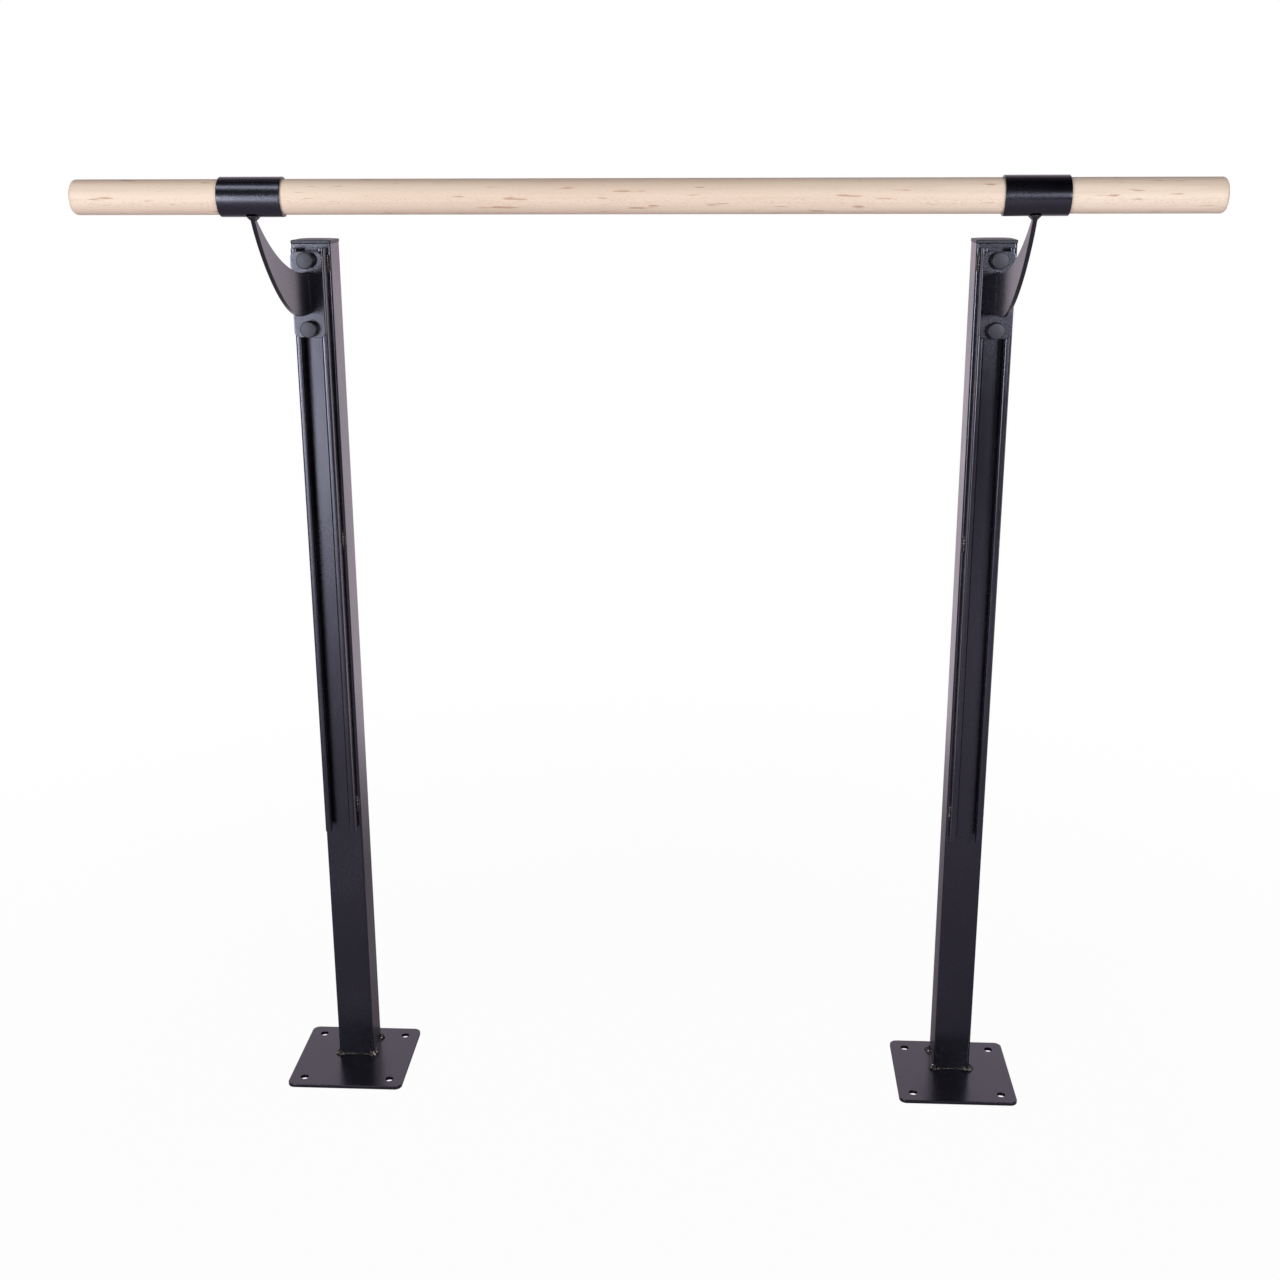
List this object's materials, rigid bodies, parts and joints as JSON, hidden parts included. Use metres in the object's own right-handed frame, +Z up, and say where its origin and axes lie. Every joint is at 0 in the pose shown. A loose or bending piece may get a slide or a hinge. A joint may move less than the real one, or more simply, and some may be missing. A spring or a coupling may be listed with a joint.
{
  "type": "height-adjustable ballet barre",
  "caption": "Floor-mounted ballet barre: a round wooden handrail on horn-shaped brackets that clamp at any height along tracks welded to square steel posts.",
  "frame": {"origin": "on the floor, in the middle of the outline seen from above", "axes": "+X along the handrail, +Y from the handrail back towards the posts, +Z up"},
  "size_m": [1.25, 0.3416, 1.2265],
  "materials": {
    "powder_coat": "satin black powder coat over steel",
    "weld_metal": "weld beads under the same black coat",
    "zinc_steel": "zinc-plated fasteners",
    "black_plastic": "moulded matt black plastic",
    "beech": "sanded, clear-sealed beech"
  },
  "bodies": {
    "posts": {"base_plate_left": "powder_coat", "post_left": "powder_coat", "post_foot_weld_left": "weld_metal", "post_cap_left": "black_plastic", "track_left": "powder_coat", "track_weld_lower_outer_left": "weld_metal", "track_weld_lower_inner_left": "weld_metal", "track_weld_middle_outer_left": "weld_metal", "track_weld_middle_inner_left": "weld_metal", "track_weld_upper_outer_left": "weld_metal", "track_weld_upper_inner_left": "weld_metal", "base_plate_right": "powder_coat", "post_right": "powder_coat", "post_foot_weld_right": "weld_metal", "post_cap_right": "black_plastic", "track_right": "powder_coat", "track_weld_lower_outer_right": "weld_metal", "track_weld_lower_inner_right": "weld_metal", "track_weld_middle_outer_right": "weld_metal", "track_weld_middle_inner_right": "weld_metal", "track_weld_upper_outer_right": "weld_metal", "track_weld_upper_inner_right": "weld_metal"},
    "carriage": {"handrail": "beech", "bracket_plate_left": "powder_coat", "bracket_arm_left": "powder_coat", "arm_foot_weld_outer_left": "weld_metal", "arm_foot_weld_inner_left": "weld_metal", "arm_tip_weld_left": "weld_metal", "rail_collar_left": "powder_coat", "rail_screw_left": "zinc_steel", "channel_nut_lower_left": "zinc_steel", "channel_nut_upper_left": "zinc_steel", "bracket_plate_right": "powder_coat", "bracket_arm_right": "powder_coat", "arm_foot_weld_outer_right": "weld_metal", "arm_foot_weld_inner_right": "weld_metal", "arm_tip_weld_right": "weld_metal", "rail_collar_right": "powder_coat", "rail_screw_right": "zinc_steel", "channel_nut_lower_right": "zinc_steel", "channel_nut_upper_right": "zinc_steel"},
    "clamp_bolt_lower_left": {"clamp_bolt_lower_left": "zinc_steel", "washer_lower_left": "zinc_steel"},
    "bolt_cap_lower_left": {"bolt_cap_lower_left": "black_plastic"},
    "clamp_bolt_upper_left": {"clamp_bolt_upper_left": "zinc_steel", "washer_upper_left": "zinc_steel"},
    "bolt_cap_upper_left": {"bolt_cap_upper_left": "black_plastic"},
    "clamp_bolt_lower_right": {"clamp_bolt_lower_right": "zinc_steel", "washer_lower_right": "zinc_steel"},
    "bolt_cap_lower_right": {"bolt_cap_lower_right": "black_plastic"},
    "clamp_bolt_upper_right": {"clamp_bolt_upper_right": "zinc_steel", "washer_upper_right": "zinc_steel"},
    "bolt_cap_upper_right": {"bolt_cap_upper_right": "black_plastic"}
  },
  "joints": [
    {"name": "rail_height", "type": "slide", "parent": "posts", "child": "carriage", "axis": [0, 0, 1], "range_m": [-0.65, 0]},
    {"name": "bolt_turn_lower_left", "type": "hinge", "parent": "carriage", "child": "clamp_bolt_lower_left", "pos_m": [-0.425, 0.06945, 1.04], "axis": [0, -1, 0], "range_deg": [0, 540]},
    {"name": "cap_pull_lower_left", "type": "slide", "parent": "clamp_bolt_lower_left", "child": "bolt_cap_lower_left", "axis": [0, -1, 0], "range_m": [0, 0.03]},
    {"name": "bolt_turn_upper_left", "type": "hinge", "parent": "carriage", "child": "clamp_bolt_upper_left", "pos_m": [-0.425, 0.06945, 1.124], "axis": [0, -1, 0], "range_deg": [0, 540]},
    {"name": "cap_pull_upper_left", "type": "slide", "parent": "clamp_bolt_upper_left", "child": "bolt_cap_upper_left", "axis": [0, -1, 0], "range_m": [0, 0.03]},
    {"name": "bolt_turn_lower_right", "type": "hinge", "parent": "carriage", "child": "clamp_bolt_lower_right", "pos_m": [0.425, 0.06945, 1.04], "axis": [0, -1, 0], "range_deg": [0, 540]},
    {"name": "cap_pull_lower_right", "type": "slide", "parent": "clamp_bolt_lower_right", "child": "bolt_cap_lower_right", "axis": [0, -1, 0], "range_m": [0, 0.03]},
    {"name": "bolt_turn_upper_right", "type": "hinge", "parent": "carriage", "child": "clamp_bolt_upper_right", "pos_m": [0.425, 0.06945, 1.124], "axis": [0, -1, 0], "range_deg": [0, 540]},
    {"name": "cap_pull_upper_right", "type": "slide", "parent": "clamp_bolt_upper_right", "child": "bolt_cap_upper_right", "axis": [0, -1, 0], "range_m": [0, 0.03]}
  ]
}
